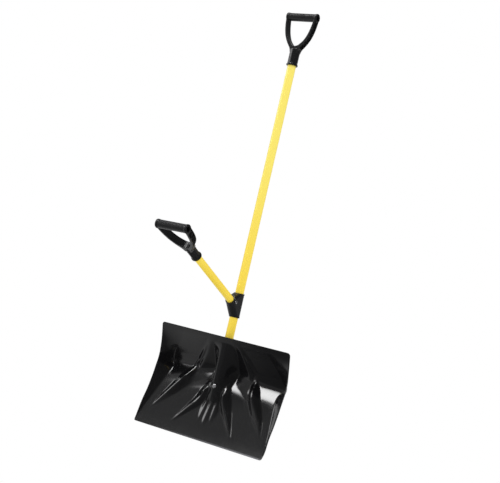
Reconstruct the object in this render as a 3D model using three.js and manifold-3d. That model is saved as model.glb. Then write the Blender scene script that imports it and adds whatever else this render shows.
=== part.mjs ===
// Two-handled snow shovel: a ribbed plastic scoop on a long steel shaft, with a D-grip at the top and a
// second, shorter shaft and D-grip that a moulded bracket carries forward and up from the main shaft.
// Millimetres. +Z up along the main shaft, -Y forward (the scoop's face), +X to the right of someone
// facing the scoop. The origin is in the middle of the scoop's leading edge, forward of the shaft's axis.
// Everything is built about the shaft's axis first, and the whole group is moved at the end.

import * as THREE from "three";
import { ConvexGeometry } from "three/addons/geometries/ConvexGeometry.js";
import { mergeVertices } from "three/addons/utils/BufferGeometryUtils.js";
import Module from "manifold-3d";

const wasm = await Module();
wasm.setup();

// ---------------------------------------------------------------- driving dimensions
const GAP = 0.3; // clearance between separate pieces
const ROUND = 36; // sides of a large round
const SMALL_ROUND = 18; // sides of a screw

const SCOOP = {
  width: 458,
  height: 305,
  wall: 3,
  rimWall: 5.5, // the bead along the top and the two sides
  rimBand: 7,
  topCorner: 9,
  lowCorner: 5,
};
const SHAFT = { radius: 12.7, wall: 1.2, foot: 132, top: 1176 };
const SLEEVE = { radius: 16.6, foot: 122 }; // the scoop's socket for the shaft

const SECOND = { radius: 11, wall: 1.2, height: 397, tilt: 66, gripBar: 423.5 };
const BRACKET = { foot: 366, top: 438, radius: 15.2, footShift: 1, mouthRadius: 14.5, mouth: 44.5 };

const GRIP = {
  socketDepth: 45,
  socketLength: 52,
  lipRadius: 17.2,
  lipLength: 4,
  depth: 22, // front to back
  barHeight: 149.5, // from the socket's mouth to the bar's axis
  barRadius: 12,
  barBore: 7.4,
  ringRadius: 13,
  ringLength: 6,
  halfWidth: 52,
};
const TOP_GRIP_FOOT = 1131;

const BLADE_BOLT = { z: 159, radius: 3, headRadius: 6.4, headHeight: 3.2 };
const CROSS_BOLT = { along: 33, radius: 2.5, headRadius: 5, headHeight: 2.6 };
const GRIP_SCREW = { up: 24, radius: 2, headRadius: 4, headHeight: 2.2, length: 18 };
const BRACKET_SCREW = { z: 384, radius: 2.2, headRadius: 4.4, headHeight: 2.4, length: 18 };

// ---------------------------------------------------------------- materials
const blackPlastic = (roughness) =>
  new THREE.MeshStandardMaterial({ color: 0x1b1b1d, roughness, metalness: 0 });
const scoopPlastic = blackPlastic(0.28);
const gripPlastic = blackPlastic(0.42);
const bracketPlastic = blackPlastic(0.5);
const yellowPaint = new THREE.MeshStandardMaterial({ color: 0xf5d02a, roughness: 0.35, metalness: 0 });
const zincSteel = new THREE.MeshStandardMaterial({ color: 0xb9bcc0, roughness: 0.35, metalness: 1 });

// ---------------------------------------------------------------- solids
// A closed three.js geometry as a solid that can be cut and joined.
function solidOf(geometry) {
  const bare = geometry.clone();
  bare.deleteAttribute("normal");
  bare.deleteAttribute("uv");
  const merged = mergeVertices(bare, 1e-4);
  return new wasm.Manifold(
    new wasm.Mesh({
      numProp: 3,
      vertProperties: merged.attributes.position.array,
      triVerts: new Uint32Array(merged.index.array),
    }),
  );
}

function geometryOf(solid) {
  const made = solid.getMesh();
  return new THREE.BufferGeometry()
    .setAttribute("position", new THREE.BufferAttribute(made.vertProperties, 3))
    .setIndex(new THREE.BufferAttribute(made.triVerts, 1));
}

// A round bar from one point to another.
function rod(from, to, radius, sides = ROUND, endRadius = radius) {
  const along = new THREE.Vector3().subVectors(to, from);
  const turn = new THREE.Quaternion().setFromUnitVectors(
    new THREE.Vector3(0, 1, 0),
    along.clone().normalize(),
  );
  const middle = new THREE.Vector3().addVectors(from, to).multiplyScalar(0.5);
  const shape = new THREE.CylinderGeometry(endRadius, radius, along.length(), sides);
  shape.applyQuaternion(turn);
  shape.translate(middle.x, middle.y, middle.z);
  return solidOf(shape);
}

const at = (x, y, z) => new THREE.Vector3(x, y, z);
const drillHole = (from, to, boltRadius) => rod(from, to, boltRadius + GAP, SMALL_ROUND);
const uprightRod = (radius, low, high, sides) => rod(at(0, 0, low), at(0, 0, high), radius, sides);

// Points on a circle in the plane of two directions.
function circle(radius, centre, u, v, sides = ROUND) {
  return Array.from({ length: sides }, (_, i) => {
    const angle = (2 * Math.PI * i) / sides;
    return centre
      .clone()
      .addScaledVector(u, radius * Math.cos(angle))
      .addScaledVector(v, radius * Math.sin(angle));
  });
}

const group = new THREE.Group();
function add(name, solid, material) {
  const mesh = new THREE.Mesh(geometryOf(solid), material);
  mesh.name = name;
  group.add(mesh);
  return mesh;
}

// ---------------------------------------------------------------- small maths
const clamp01 = (t) => Math.min(1, Math.max(0, t));
const smooth = (t) => {
  const c = clamp01(t);
  return c * c * (3 - 2 * c);
};

// A smooth curve through [position, value] pairs.
function through(pairs, position) {
  const last = pairs.length - 1;
  if (position <= pairs[0][0]) return pairs[0][1];
  if (position >= pairs[last][0]) return pairs[last][1];
  const i = pairs.findIndex((p) => p[0] > position) - 1;
  const slope = (k) => {
    const a = pairs[Math.max(0, k - 1)];
    const b = pairs[Math.min(last, k + 1)];
    return (b[1] - a[1]) / (b[0] - a[0]);
  };
  const [x0, y0] = pairs[i];
  const [x1, y1] = pairs[i + 1];
  const step = x1 - x0;
  const t = (position - x0) / step;
  const t2 = t * t;
  const t3 = t2 * t;
  return (
    y0 * (2 * t3 - 3 * t2 + 1) +
    slope(i) * step * (t3 - 2 * t2 + t) +
    y1 * (3 * t2 - 2 * t3) +
    slope(i + 1) * step * (t3 - t2)
  );
}

// ---------------------------------------------------------------- the scoop's face
// Side profile of the rim: [height, y].
const RIM_PROFILE = [
  [0, -58],
  [40, -50],
  [61, -45],
  [102, -30],
  [150, -18.5],
  [206, -11.8],
  [243, -14.3],
  [282, -23.5],
  [305, -30.5],
];
// Side profile of the tray's floor, away from the ridges: [height, y].
const TRAY_PROFILE = [
  [0, -58],
  [15, -50],
  [30, -42.5],
  [57, -30],
  [80, -20],
  [100, -11.5],
  [125, -1],
  [145, 7.5],
  [157, 13.5],
  [168, 20.5],
  [178, 27.5],
  [185, 32],
  [191, 35],
  [197, 36.2],
  [204, 35.2],
  [215, 30.5],
  [235, 19],
  [260, 3],
  [280, -12],
  [293, -22.5],
  [305, -30.5],
];
// Where the side walls start: [height, distance from the middle].
const WALL_FOLD = [
  [0, 229],
  [18, 228],
  [44, 223],
  [71, 216],
  [110, 204],
  [147, 194],
  [174, 191],
  [188, 202],
  [201, 204],
  [218, 198],
  [234, 190],
  [246, 179],
  [274, 160],
  [290, 150],
  [305, 143],
];
const WALL_CURVE = 1.3; // how roundly the side walls meet the tray
// The bulge that hides the shaft's socket: [height, y of its front], and [height, half its foot's width].
const BULGE_FRONT = [
  [84, -9.5],
  [98, -11],
  [110, -14],
  [124, -17.6],
  [134, -18.2],
  [305, -18.2],
];
const BULGE_HALF = [
  [85, 14],
  [100, 19],
  [122, 28],
  [150, 36],
  [176, 41],
  [305, 41],
];
const BULGE_FLAT = 0.2; // share of the bulge's width that is flat
// Ridges of the fan on the right half, from the top down, by stations along the crest:
// [x, height above the leading edge, how far it stands out, inner flank's width, outer flank's width].
const RIDGES = [
  [
    [34, 292, 1, 10, 10],
    [53, 276, 2.5, 14, 12],
    [72, 236, 6, 30, 13],
    [88, 206, 12, 46, 15],
    [103, 184, 13.5, 34, 16],
    [120, 162, 12.5, 23, 16],
    [136, 140, 11, 20, 15],
    [155, 114, 9, 17, 12.5],
    [174, 87, 5.5, 12, 9],
    [195, 54, 0.3, 2, 2],
  ],
  [
    [57, 276, 1, 4, 6],
    [74, 256, 4, 5, 8],
    [88, 234, 6, 5, 9],
    [102, 213, 6, 5, 9],
    [112, 196, 0.5, 3, 4],
  ],
  [
    [24, 158, 8, 14, 16],
    [29, 144, 12, 14, 19],
    [38, 122, 13, 14, 20],
    [51, 101, 11, 13, 17],
    [66, 83, 8.5, 11, 13],
    [86, 57, 5, 7, 7],
    [108, 28, 0.3, 2, 2],
  ],
  [
    [0, 128, 12, 16, 16],
    [0, 112, 9, 16, 16],
    [0, 96, 6.5, 14, 14],
    [0, 76, 4, 12, 12],
    [0, 42, 0.3, 4, 4],
  ],
  [
    [15, 132, 12, 12, 12],
    [17, 112, 8, 12, 12],
    [18, 92, 5, 12, 12],
    [19, 76, 3, 10, 10],
    [20, 54, 0.3, 4, 4],
  ],
  [
    [28, 142, 10, 8, 8],
    [29, 118, 5, 8, 8],
    [30, 104, 2.5, 6, 6],
    [30, 90, 0.3, 2, 2],
  ],
];
const CREST_ROUND = 0.22; // how round a crest is, as a share of its flanks' width
const MIN_FLANK = 0.5;
const PATH_STEPS = 24;
// The panels between them fall away outwards from the middle. Each fall by rows:
// [height, x where it starts, x where it ends, how far forward it starts].
const FALLS = [
  [
    [100, 36, 120, 0],
    [120, 36, 112, 3],
    [140, 36, 104, 10],
    [166, 36, 96, 12],
    [193, 36, 96, 9],
    [215, 36, 90, 0],
  ],
  [
    [100, 150, 212, 0],
    [120, 140, 206, 4],
    [147, 128, 196, 10],
    [174, 118, 190, 12],
    [200, 112, 192, 10],
    [225, 112, 190, 0],
  ],
];
const FALL_START = 16; // width over which a falling panel rises to its start
const TOP_FADE = 30; // everything dies away to the rim over this height

// A smooth curve through a ridge's stations.
function crestPoints(stations) {
  const last = stations.length - 1;
  const points = [];
  for (let step = 0; step <= PATH_STEPS; step++) {
    const along = (last * step) / PATH_STEPS;
    const i = Math.min(Math.floor(along), last - 1);
    const t = along - i;
    const before = stations[Math.max(0, i - 1)];
    const after = stations[Math.min(last, i + 2)];
    points.push(
      stations[i].map((here, k) => {
        const there = stations[i + 1][k];
        const linear = (there - before[k]) * t;
        const square = (2 * before[k] - 5 * here + 4 * there - after[k]) * t * t;
        const cubic = (3 * here - before[k] - 3 * there + after[k]) * t * t * t;
        return 0.5 * (2 * here + linear + square + cubic);
      }),
    );
  }
  return points;
}
const CRESTS = RIDGES.map(crestPoints);

// How far a ridge stands out at a point.
function ridgeHeight(crest, x, z) {
  let best = Infinity;
  let outside = false;
  let sizes = [];
  for (let i = 0; i < crest.length - 1; i++) {
    const [ax, az] = crest[i];
    const dx = crest[i + 1][0] - ax;
    const dz = crest[i + 1][1] - az;
    const t = clamp01(((x - ax) * dx + (z - az) * dz) / (dx * dx + dz * dz));
    const offX = x - ax - t * dx;
    const offZ = z - az - t * dz;
    const distance = Math.hypot(offX, offZ);
    if (distance < best) {
      best = distance;
      outside = dx * offZ - dz * offX > 0;
      sizes = [2, 3, 4].map((k) => crest[i][k] + t * (crest[i + 1][k] - crest[i][k]));
    }
  }
  const [tall, inner, outer] = sizes;
  const flank = Math.max(MIN_FLANK, outside ? outer : inner);
  const round = CREST_ROUND * Math.min(inner, outer);
  const off = Math.hypot(best, round) - round;
  return Math.max(0, tall) * clamp01(1 - off / flank);
}

// How far a falling panel stands out at a point.
function fallHeight(rows, x, z) {
  const [start, end, tall] = [1, 2, 3].map((k) => through(rows.map((row) => [row[0], row[k]]), z));
  return Math.max(0, tall) * clamp01((end - x) / (end - start)) * smooth((x - start) / FALL_START + 1);
}

// y of the face at a point of the scoop; the face looks towards -Y.
function face(x, z) {
  const side = Math.abs(x);
  const half = SCOOP.width / 2;
  const wall = clamp01((half - side) / Math.max(1, half - through(WALL_FOLD, z)));
  const rim = through(RIM_PROFILE, z);
  let y = rim + (through(TRAY_PROFILE, z) - rim) * (1 - Math.pow(1 - wall, WALL_CURVE));
  const tall = Math.max(...CRESTS.map((crest) => ridgeHeight(crest, side, z)));
  const fall = Math.max(...FALLS.map((rows) => fallHeight(rows, side, z)));
  y -= (tall + fall) * smooth((SCOOP.height - z) / TOP_FADE);
  const bulgeHalf = through(BULGE_HALF, z);
  const over = (bulgeHalf - side) / (bulgeHalf * (1 - BULGE_FLAT));
  const nose = Math.min(0, through(BULGE_FRONT, z) - y);
  return y + (nose * (smooth(over) + clamp01(over))) / 2;
}

// Half the scoop's width at a height, with its rounded corners.
function halfWidth(z) {
  const { width, height, topCorner, lowCorner } = SCOOP;
  const half = width / 2;
  if (z > height - topCorner) {
    const up = z - (height - topCorner);
    return half - topCorner + Math.sqrt(Math.max(0, topCorner ** 2 - up ** 2));
  }
  if (z < lowCorner) {
    const down = lowCorner - z;
    return half - lowCorner + Math.sqrt(Math.max(0, lowCorner ** 2 - down ** 2));
  }
  return half;
}

// Thickness, measured square to the face, at a point.
function wallAt(x, z) {
  const toSide = SCOOP.width / 2 - Math.abs(x);
  const toTop = SCOOP.height - z;
  const inRim = 1 - smooth(Math.min(toSide, toTop) / SCOOP.rimBand);
  const lowFade = smooth(z / 60);
  return SCOOP.wall + (SCOOP.rimWall - SCOOP.wall) * inRim * lowFade;
}

function scoopSheet() {
  const columns = 72;
  const { height, topCorner, lowCorner } = SCOOP;
  const rows = [];
  for (const share of [0, 0.4, 1]) rows.push(lowCorner * share);
  const middleRows = 33;
  for (let i = 1; i <= middleRows; i++) {
    rows.push(lowCorner + ((height - topCorner - lowCorner) * i) / middleRows);
  }
  for (const share of [0.5, 0.85, 1]) rows.push(height - topCorner + topCorner * share);

  const positions = [];
  const probe = 1; // step for the slope, mm
  for (const back of [false, true]) {
    for (const z of rows) {
      const half = halfWidth(z);
      for (let i = 0; i <= columns; i++) {
        const x = half * ((2 * i) / columns - 1);
        let y = face(x, z);
        if (back) {
          const slopeX = (face(x + probe, z) - face(x - probe, z)) / (2 * probe);
          const slopeZ = (face(x, z + probe) - face(x, z - probe)) / (2 * probe);
          y += wallAt(x, z) * Math.min(1.7, Math.hypot(1, slopeX, slopeZ));
        }
        positions.push(x, y, z);
      }
    }
  }
  const across = columns + 1;
  const sheet = rows.length * across;
  const faces = [];
  const quad = (a, b, c, d) => faces.push(a, b, c, a, c, d);
  for (let j = 0; j < rows.length - 1; j++) {
    for (let i = 0; i < columns; i++) {
      const a = j * across + i;
      const front = [a, a + 1, a + 1 + across, a + across];
      // The two halves' diagonals mirror each other.
      if (i >= columns / 2) front.push(front.shift());
      quad(...front);
      quad(...front.reverse().map((corner) => sheet + corner));
    }
  }
  for (let i = 0; i < columns; i++) {
    const top = (rows.length - 1) * across + i;
    quad(i + 1, i, sheet + i, sheet + i + 1);
    quad(top, top + 1, sheet + top + 1, sheet + top);
  }
  for (let j = 0; j < rows.length - 1; j++) {
    const left = j * across;
    const right = left + columns;
    quad(left, left + across, sheet + left + across, sheet + left);
    quad(right + across, right, sheet + right, sheet + right + across);
  }
  const geometry = new THREE.BufferGeometry();
  geometry.setAttribute("position", new THREE.Float32BufferAttribute(positions, 3));
  geometry.setIndex(faces);
  return solidOf(geometry);
}

function scoop() {
  const boltHole = drillHole(at(0, -60, BLADE_BOLT.z), at(0, 60, BLADE_BOLT.z), BLADE_BOLT.radius);
  // The socket's mouth widens forward to meet the back of the top edge.
  const rim = RIM_PROFILE[RIM_PROFILE.length - 1][1] + SCOOP.wall;
  const collarTop = SCOOP.height - 1;
  const collarFoot = SCOOP.height - 14;
  const corner = 14;
  const collar = solidOf(
    new ConvexGeometry([
      ...circle(SLEEVE.radius, at(0, 0, collarFoot), at(1, 0, 0), at(0, 1, 0)),
      ...circle(SLEEVE.radius, at(0, 0, collarTop), at(1, 0, 0), at(0, 1, 0)),
      at(-corner, rim, collarTop),
      at(corner, rim, collarTop),
    ]),
  );
  // A web ties the socket to the back of the bulge.
  const webFoot = SLEEVE.foot + 4;
  const web = new THREE.BoxGeometry(18, 5, collarFoot - webFoot);
  web.translate(0, BULGE_FRONT[BULGE_FRONT.length - 1][1] + 4, (collarFoot + webFoot) / 2);
  return scoopSheet()
    .add(uprightRod(SLEEVE.radius, SLEEVE.foot, collarTop))
    .add(solidOf(web))
    .add(collar)
    .subtract(uprightRod(SHAFT.radius + GAP, SHAFT.foot - GAP, SCOOP.height + 40))
    .subtract(boltHole);
}

// ---------------------------------------------------------------- shafts
function tube(radius, wall, low, high, sides = ROUND) {
  return uprightRod(radius, low, high, sides).subtract(uprightRod(radius - wall, low - 1, high + 1, sides));
}

function mainShaft() {
  const boltHole = drillHole(at(0, -20, BLADE_BOLT.z), at(0, 20, BLADE_BOLT.z), BLADE_BOLT.radius);
  const gripScrewHeight = TOP_GRIP_FOOT + GRIP_SCREW.up;
  const gripHole = drillHole(at(0, 0, gripScrewHeight), at(0, 20, gripScrewHeight), GRIP_SCREW.radius);
  const bracketHole = drillHole(
    at(0, 0, BRACKET_SCREW.z),
    at(0, 20, BRACKET_SCREW.z),
    BRACKET_SCREW.radius,
  );
  return tube(SHAFT.radius, SHAFT.wall, SHAFT.foot, SHAFT.top)
    .subtract(boltHole)
    .subtract(gripHole)
    .subtract(bracketHole);
}

// The second handle is built upright on its own axis, with its origin on the main shaft's axis,
// and then turned.
const secondTurn = new THREE.Matrix4()
  .makeTranslation(0, 0, SECOND.height)
  .multiply(new THREE.Matrix4().makeRotationX(THREE.MathUtils.degToRad(SECOND.tilt)));
const secondSocketFoot = SECOND.gripBar - GRIP.barHeight;
const SECOND_FOOT = 20; // the second shaft starts this far from the main shaft's axis

function turned(solid) {
  return solidOf(geometryOf(solid).applyMatrix4(secondTurn));
}

function secondShaft() {
  const crossHole = drillHole(at(-20, 0, CROSS_BOLT.along), at(20, 0, CROSS_BOLT.along), CROSS_BOLT.radius);
  const gripScrewHeight = secondSocketFoot + GRIP_SCREW.up;
  const gripHole = drillHole(at(0, 0, gripScrewHeight), at(0, 20, gripScrewHeight), GRIP_SCREW.radius);
  const top = secondSocketFoot + GRIP.socketDepth - GAP;
  return tube(SECOND.radius, SECOND.wall, SECOND_FOOT, top).subtract(crossHole).subtract(gripHole);
}

// ---------------------------------------------------------------- the bracket
function bracket() {
  const right = at(1, 0, 0);
  const back = at(0, 1, 0);
  const tilt = THREE.MathUtils.degToRad(SECOND.tilt);
  const outward = at(0, -Math.sin(tilt), Math.cos(tilt));
  const up = at(0, Math.cos(tilt), Math.sin(tilt));
  const mouth = at(0, 0, SECOND.height).addScaledVector(outward, BRACKET.mouth);
  const body = solidOf(
    new ConvexGeometry([
      ...circle(BRACKET.radius, at(0, BRACKET.footShift, BRACKET.foot), right, back),
      ...circle(BRACKET.radius, at(0, 0, BRACKET.top), right, back),
      ...circle(BRACKET.mouthRadius, mouth, right, up),
    ]),
  );
  const socket = turned(uprightRod(SECOND.radius + GAP, SECOND_FOOT - GAP, BRACKET.mouth + 30));
  const { along, radius } = CROSS_BOLT;
  const crossHole = turned(drillHole(at(-40, 0, along), at(40, 0, along), radius));
  const screwHole = drillHole(at(0, 0, BRACKET_SCREW.z), at(0, 40, BRACKET_SCREW.z), BRACKET_SCREW.radius);
  return body
    .subtract(uprightRod(SHAFT.radius + GAP, BRACKET.foot - 5, BRACKET.top + 5))
    .subtract(socket)
    .subtract(crossHole)
    .subtract(screwHole);
}

// ---------------------------------------------------------------- the D-grips
// Half outline of the grip, [distance from the middle, height above the socket's mouth].
const GRIP_OUTER = [
  [12.5, 42],
  [14.5, 48],
  [18.5, 55],
  [25, 63],
  [33, 75],
  [40.5, 90],
  [46, 108],
  [49.5, 128],
  [51.5, 149.5],
];
const GRIP_INNER = [
  [44.7, 139],
  [42.3, 124],
  [38.9, 108],
  [33.6, 92],
  [26.3, 78],
  [17, 67.5],
  [9.5, 61.5],
  [4.3, 59.2],
];

function grip(boreRadius) {
  const { depth, barHeight, halfWidth: half, ringLength } = GRIP;
  const outline = new THREE.Shape();
  const outer = GRIP_OUTER.map(([x, z]) => new THREE.Vector2(x, z));
  const inner = GRIP_INNER.map(([x, z]) => new THREE.Vector2(x, z));
  const mirrored = (points) => points.map((p) => new THREE.Vector2(-p.x, p.y)).reverse();
  outline.setFromPoints([...mirrored(outer), ...outer]);
  const opening = new THREE.Path();
  opening.setFromPoints([...inner, ...mirrored(inner)]);
  outline.holes.push(opening);
  const frameShape = new THREE.ExtrudeGeometry(outline, { depth, bevelEnabled: false });
  frameShape.rotateX(Math.PI / 2);
  frameShape.translate(0, depth / 2, 0);
  const acrossBar = (radius, from, to) => rod(at(from, 0, barHeight), at(to, 0, barHeight), radius);
  return solidOf(frameShape)
    .add(uprightRod(boreRadius + 1.6, 0, GRIP.socketLength))
    .add(uprightRod(GRIP.lipRadius - (SHAFT.radius + GAP - boreRadius), 0, GRIP.lipLength))
    .add(acrossBar(GRIP.barRadius, -half, half))
    .add(acrossBar(GRIP.ringRadius, half - ringLength, half))
    .add(acrossBar(GRIP.ringRadius, -half, ringLength - half))
    .subtract(acrossBar(GRIP.barBore, -half - 5, half + 5))
    .subtract(uprightRod(boreRadius, -5, GRIP.socketDepth))
    .subtract(drillHole(at(0, 0, GRIP_SCREW.up), at(0, 30, GRIP_SCREW.up), GRIP_SCREW.radius));
}

// ---------------------------------------------------------------- fasteners
// A round-headed screw along +Y, its head's underside at y = 0 and its shank towards -Y.
function panScrew({ radius, headRadius, headHeight, length }) {
  const head = rod(at(0, 0, 0), at(0, headHeight, 0), headRadius, SMALL_ROUND, headRadius * 0.72);
  return head.add(rod(at(0, -length, 0), at(0, 1, 0), radius, SMALL_ROUND));
}

function hexNut(boltRadius, acrossCorners, thickness) {
  return rod(at(0, 0, 0), at(0, thickness, 0), acrossCorners, 6).subtract(
    rod(at(0, -1, 0), at(0, thickness + 1, 0), boltRadius + GAP, SMALL_ROUND),
  );
}

function washer(boltRadius, outerRadius, thickness) {
  return rod(at(0, 0, 0), at(0, thickness, 0), outerRadius, 24).subtract(
    rod(at(0, -1, 0), at(0, thickness + 1, 0), boltRadius + GAP, SMALL_ROUND),
  );
}

const moved = (solid, matrix) => solidOf(geometryOf(solid).applyMatrix4(matrix));
const shift = (x, y, z) => new THREE.Matrix4().makeTranslation(x, y, z);
const halfTurn = new THREE.Matrix4().makeRotationZ(Math.PI);
const quarterTurn = new THREE.Matrix4().makeRotationZ(-Math.PI / 2);

// ---------------------------------------------------------------- assembly
add("scoop", scoop(), scoopPlastic);
add("main_shaft", mainShaft(), yellowPaint);
add("bracket", bracket(), bracketPlastic);
add("second_shaft", turned(secondShaft()), yellowPaint);

const topGrip = grip(SHAFT.radius + GAP);
add("top_grip", moved(topGrip, shift(0, 0, TOP_GRIP_FOOT)), gripPlastic);
const secondGrip = grip(SECOND.radius + GAP);
add("second_grip", turned(moved(secondGrip, shift(0, 0, secondSocketFoot))), gripPlastic);

// The scoop's bolt runs from front to back through the socket and the shaft.
const bladeBoltLength = 40;
const bladeBoltSeat = face(0, BLADE_BOLT.z) - GAP;
const bladeBolt = panScrew({ ...BLADE_BOLT, length: bladeBoltLength + 6 });
add("scoop_bolt", moved(bladeBolt, shift(0, bladeBoltSeat, BLADE_BOLT.z).multiply(halfTurn)), zincSteel);
const washerSeat = SLEEVE.radius + GAP;
const nutSeat = washerSeat + 1.4 + GAP;
const washerPlace = shift(0, washerSeat, BLADE_BOLT.z);
add("scoop_washer", moved(washer(BLADE_BOLT.radius, 8, 1.4), washerPlace), zincSteel);
add("scoop_nut", moved(hexNut(BLADE_BOLT.radius, 5.8, 5), shift(0, nutSeat, BLADE_BOLT.z)), zincSteel);

// The bracket's bolt runs from side to side through the second shaft.
const bracketSide = BRACKET.radius + GAP;
const crossSeat = secondTurn.clone().multiply(shift(0, 0, CROSS_BOLT.along));
const crossBolt = panScrew({ ...CROSS_BOLT, length: 2 * bracketSide + 7 });
const rightSide = crossSeat.clone().multiply(shift(bracketSide, 0, 0)).multiply(quarterTurn);
add("bracket_bolt", moved(crossBolt, rightSide), zincSteel);
const crossNut = hexNut(CROSS_BOLT.radius, 4.8, 4);
const leftSide = crossSeat
  .clone()
  .multiply(shift(-bracketSide, 0, 0))
  .multiply(quarterTurn.clone().invert());
add("bracket_nut", moved(crossNut, leftSide), zincSteel);

// A screw from behind stops the bracket turning and sliding on the main shaft.
const bracketScrewSeat = shift(0, BRACKET.radius + BRACKET.footShift + GAP, BRACKET_SCREW.z);
add("bracket_screw", moved(panScrew({ ...BRACKET_SCREW, length: 12 }), bracketScrewSeat), zincSteel);

// Each grip is held by one screw from behind.
const gripScrew = panScrew({ ...GRIP_SCREW, length: 12 });
const topScrewSeat = shift(0, SHAFT.radius + GAP + 1.6 + GAP, TOP_GRIP_FOOT + GRIP_SCREW.up);
add("top_grip_screw", moved(gripScrew, topScrewSeat), zincSteel);
const secondScrewSeat = shift(0, SECOND.radius + GAP + 1.6 + GAP, secondSocketFoot + GRIP_SCREW.up);
add("second_grip_screw", turned(moved(gripScrew, secondScrewSeat)), zincSteel);

// The leading edge's mid-thickness goes to the origin.
const edgeMiddle = face(0, 0) + wallAt(0, 0) / 2;
group.position.y = -edgeMiddle;

export default group;
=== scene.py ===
"""A two-handled snow shovel: a ribbed black scoop, yellow painted tubes, a moulded bracket and two D-grips.

Shapes are worked out in millimetres, with the main shaft's axis as Z, and put into the frame at the end.
"""

import math

import bmesh
import bpy
import numpy as np
from mathutils import Matrix, Vector


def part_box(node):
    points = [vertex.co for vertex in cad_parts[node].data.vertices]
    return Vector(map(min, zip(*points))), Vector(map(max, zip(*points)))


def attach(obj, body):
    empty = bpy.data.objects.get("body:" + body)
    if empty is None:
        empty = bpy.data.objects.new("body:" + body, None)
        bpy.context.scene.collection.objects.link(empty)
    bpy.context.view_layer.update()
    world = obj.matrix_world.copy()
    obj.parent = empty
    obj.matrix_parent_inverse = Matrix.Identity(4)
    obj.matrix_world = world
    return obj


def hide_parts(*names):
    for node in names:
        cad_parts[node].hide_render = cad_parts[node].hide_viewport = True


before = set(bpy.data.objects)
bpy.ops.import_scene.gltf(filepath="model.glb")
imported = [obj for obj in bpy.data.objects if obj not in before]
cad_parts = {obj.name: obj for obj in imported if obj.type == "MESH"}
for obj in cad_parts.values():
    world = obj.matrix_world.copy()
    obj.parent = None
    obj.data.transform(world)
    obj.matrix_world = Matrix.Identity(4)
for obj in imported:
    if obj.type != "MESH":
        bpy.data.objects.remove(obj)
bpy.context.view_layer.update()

MM = 0.001


def box_mm(node):
    """The lowest and highest corners of a CAD node, in millimetres."""
    low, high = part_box(node)
    return low / MM, high / MM


shaft_low, shaft_high = box_mm("main_shaft")
scoop_low, scoop_high = box_mm("scoop")
AXIS_Y = (shaft_low.y + shaft_high.y) / 2
SHAFT_RADIUS = (shaft_high.x - shaft_low.x) / 2
TUBE_WALL = 1.2
WIDTH = scoop_high.x - scoop_low.x
HEIGHT = scoop_high.z

SECOND_HEIGHT = 397  # where the second handle's axis meets the main shaft's
SECOND_TILT = math.radians(66)
SECOND_RADIUS = 11
SECOND_FOOT = 20  # the second tube's lower end, along its own axis
SECOND_BAR = 423.5  # the second grip's bar, along the same axis
GRIP_SOCKET_DEPTH = 45
GRIP_BAR_HEIGHT = 149.5  # above the mouth of the grip's socket
TOP_GRIP_FOOT = shaft_high.z - GRIP_SOCKET_DEPTH
SECOND_GRIP_FOOT = SECOND_BAR - GRIP_BAR_HEIGHT
GAP = 0.3  # between pieces
HOLE_SIDES = 32
CLEAR = 5  # how far a cutter passes the end of what it cuts

TO_FRAME = Matrix.Translation((0, AXIS_Y * MM, 0)) @ Matrix.Scale(MM, 4)
SECOND_TURN = Matrix.Translation((0, 0, SECOND_HEIGHT)) @ Matrix.Rotation(SECOND_TILT, 4, "X")


# ---------------------------------------------------------------- mesh helpers
def new_object(name, mesh):
    """An object in the scene that carries a mesh."""
    made = bpy.data.objects.new(name, mesh)
    bpy.context.scene.collection.objects.link(made)
    return made


def mesh_from(name, points, faces):
    """A mesh from points and from faces that index them."""
    mesh = bpy.data.meshes.new(name)
    mesh.from_pydata([tuple(p) for p in points], [], faces)
    mesh.validate()
    return mesh


def shade(mesh, angle):
    """Smooth shading, with edges sharper than the angle, in degrees, kept sharp."""
    mesh.polygons.foreach_set("use_smooth", [True] * len(mesh.polygons))
    mesh.set_sharp_from_angle(angle=math.radians(angle))


def finish_piece(name, mesh, material, node, place=Matrix.Identity(4), angle=30):
    """Puts a mesh made in millimetres into the frame, as the piece that stands for a CAD node."""
    mesh.transform(TO_FRAME @ place)
    mesh.name = name
    shade(mesh, angle)
    mesh.materials.clear()
    mesh.materials.append(material)
    piece = new_object(name, mesh)
    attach(piece, "root")
    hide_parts(node)


def arc(centre, radius, start, end, steps=5):
    """Points on an arc, with its angles in degrees."""
    angles = [math.radians(start + (end - start) * i / steps) for i in range(steps + 1)]
    return [(centre[0] + radius * math.cos(a), centre[1] + radius * math.sin(a)) for a in angles]


def lathe(profile, sides=96):
    """A closed profile of (radius, height) points turned about the Z axis."""
    points = []
    faces = []
    count = len(profile)
    for i in range(sides):
        angle = 2 * math.pi * i / sides
        points += [(r * math.cos(angle), r * math.sin(angle), z) for r, z in profile]
    for i in range(sides):
        here = i * count
        there = ((i + 1) % sides) * count
        for j in range(count):
            k = (j + 1) % count
            faces.append((here + j, there + j, there + k, here + k))
    mesh = mesh_from("lathe", points, faces)
    weld(mesh)
    return mesh


def weld(mesh, distance=1e-4):
    """Joins points that coincide, and drops what that leaves without an area."""
    grid = bmesh.new()
    grid.from_mesh(mesh)
    bmesh.ops.remove_doubles(grid, verts=grid.verts, dist=distance)
    bmesh.ops.dissolve_degenerate(grid, edges=grid.edges, dist=distance)
    loose = [edge for edge in grid.edges if not edge.link_faces]
    bmesh.ops.delete(grid, geom=loose, context="EDGES")
    bmesh.ops.recalc_face_normals(grid, faces=grid.faces)
    grid.to_mesh(mesh)
    grid.free()


def ring(radius, centre, u, v, sides=64):
    """Points on a circle in the plane of two directions."""
    centre, u, v = Vector(centre), Vector(u), Vector(v)
    angles = [2 * math.pi * i / sides for i in range(sides)]
    return [centre + u * (radius * math.cos(a)) + v * (radius * math.sin(a)) for a in angles]


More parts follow.
